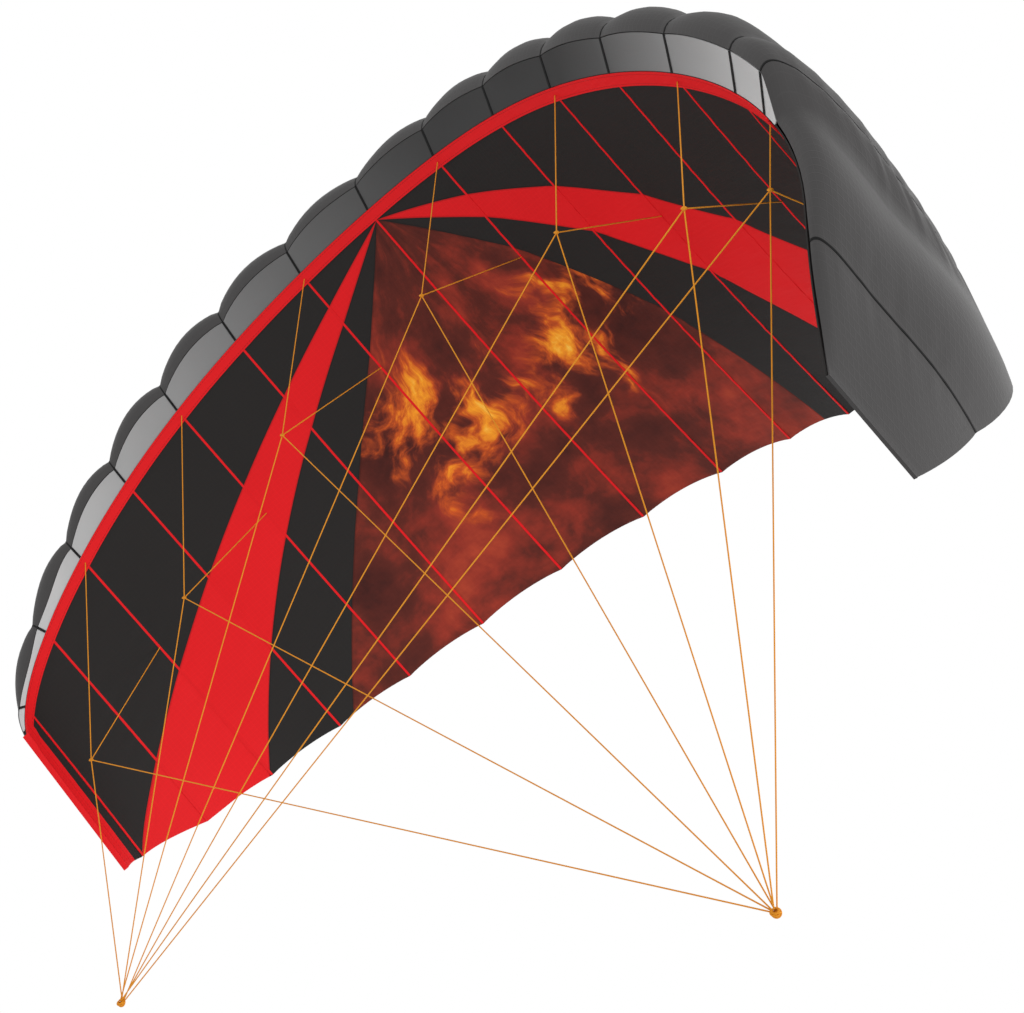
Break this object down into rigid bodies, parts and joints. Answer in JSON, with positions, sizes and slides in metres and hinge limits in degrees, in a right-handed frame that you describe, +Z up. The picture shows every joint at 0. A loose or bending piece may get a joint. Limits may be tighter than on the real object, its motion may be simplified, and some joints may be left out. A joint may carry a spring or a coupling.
{
  "type": "stunt kite",
  "caption": "Two-line ram-air stunt kite in flight: an arched cellular cloth foil with gauze intakes, red edge binding and a line bridle to two tow points.",
  "frame": {"origin": "midway between the two tow points, where the flying lines pull", "axes": "+X along the span to the wing's right side, +Y from the leading edge to the trailing edge, +Z up to the arched wing"},
  "size_m": [0.9965, 0.446, 0.8405],
  "materials": {
    "upper_cloth": "dark grey ripstop",
    "lower_cloth": "black ripstop",
    "red_cloth": "red ripstop binding",
    "rib_cloth": "black ripstop",
    "gauze": "grey gauze",
    "bridle_cord": "orange braided cord"
  },
  "bodies": {
    "root": {"upper_skin": "upper_cloth", "lower_skin": "lower_cloth", "leading_edge_band": "red_cloth", "tip_band_left": "red_cloth", "tip_band_right": "red_cloth", "intake_gauze": "gauze", "rib_left_7": "rib_cloth", "rib_left_6": "rib_cloth", "rib_left_5": "rib_cloth", "rib_left_4": "rib_cloth", "rib_left_3": "rib_cloth", "rib_left_2": "rib_cloth", "rib_left_1": "rib_cloth", "rib_centre": "rib_cloth", "rib_right_1": "rib_cloth", "rib_right_2": "rib_cloth", "rib_right_3": "rib_cloth", "rib_right_4": "rib_cloth", "rib_right_5": "rib_cloth", "rib_right_6": "rib_cloth", "rib_right_7": "rib_cloth", "rib_right_8": "rib_cloth", "front_leg_left_5": "bridle_cord", "rear_leg_left_5": "bridle_cord", "main_line_left_5_to_left": "bridle_cord", "main_line_left_5_to_right": "bridle_cord", "junction_knot_left_5": "bridle_cord", "front_leg_left_3": "bridle_cord", "rear_leg_left_3": "bridle_cord", "main_line_left_3_to_left": "bridle_cord", "main_line_left_3_to_right": "bridle_cord", "junction_knot_left_3": "bridle_cord", "front_leg_left_1": "bridle_cord", "rear_leg_left_1": "bridle_cord", "main_line_left_1_to_left": "bridle_cord", "main_line_left_1_to_right": "bridle_cord", "junction_knot_left_1": "bridle_cord", "front_leg_right_1": "bridle_cord", "rear_leg_right_1": "bridle_cord", "main_line_right_1_to_left": "bridle_cord", "main_line_right_1_to_right": "bridle_cord", "junction_knot_right_1": "bridle_cord", "front_leg_right_3": "bridle_cord", "rear_leg_right_3": "bridle_cord", "main_line_right_3_to_left": "bridle_cord", "main_line_right_3_to_right": "bridle_cord", "junction_knot_right_3": "bridle_cord", "front_leg_right_5": "bridle_cord", "rear_leg_right_5": "bridle_cord", "main_line_right_5_to_left": "bridle_cord", "main_line_right_5_to_right": "bridle_cord", "junction_knot_right_5": "bridle_cord", "front_leg_right_7": "bridle_cord", "rear_leg_right_7": "bridle_cord", "main_line_right_7_to_left": "bridle_cord", "main_line_right_7_to_right": "bridle_cord", "junction_knot_right_7": "bridle_cord", "tow_knot_left": "bridle_cord", "tow_knot_right": "bridle_cord"}
  },
  "joints": []
}
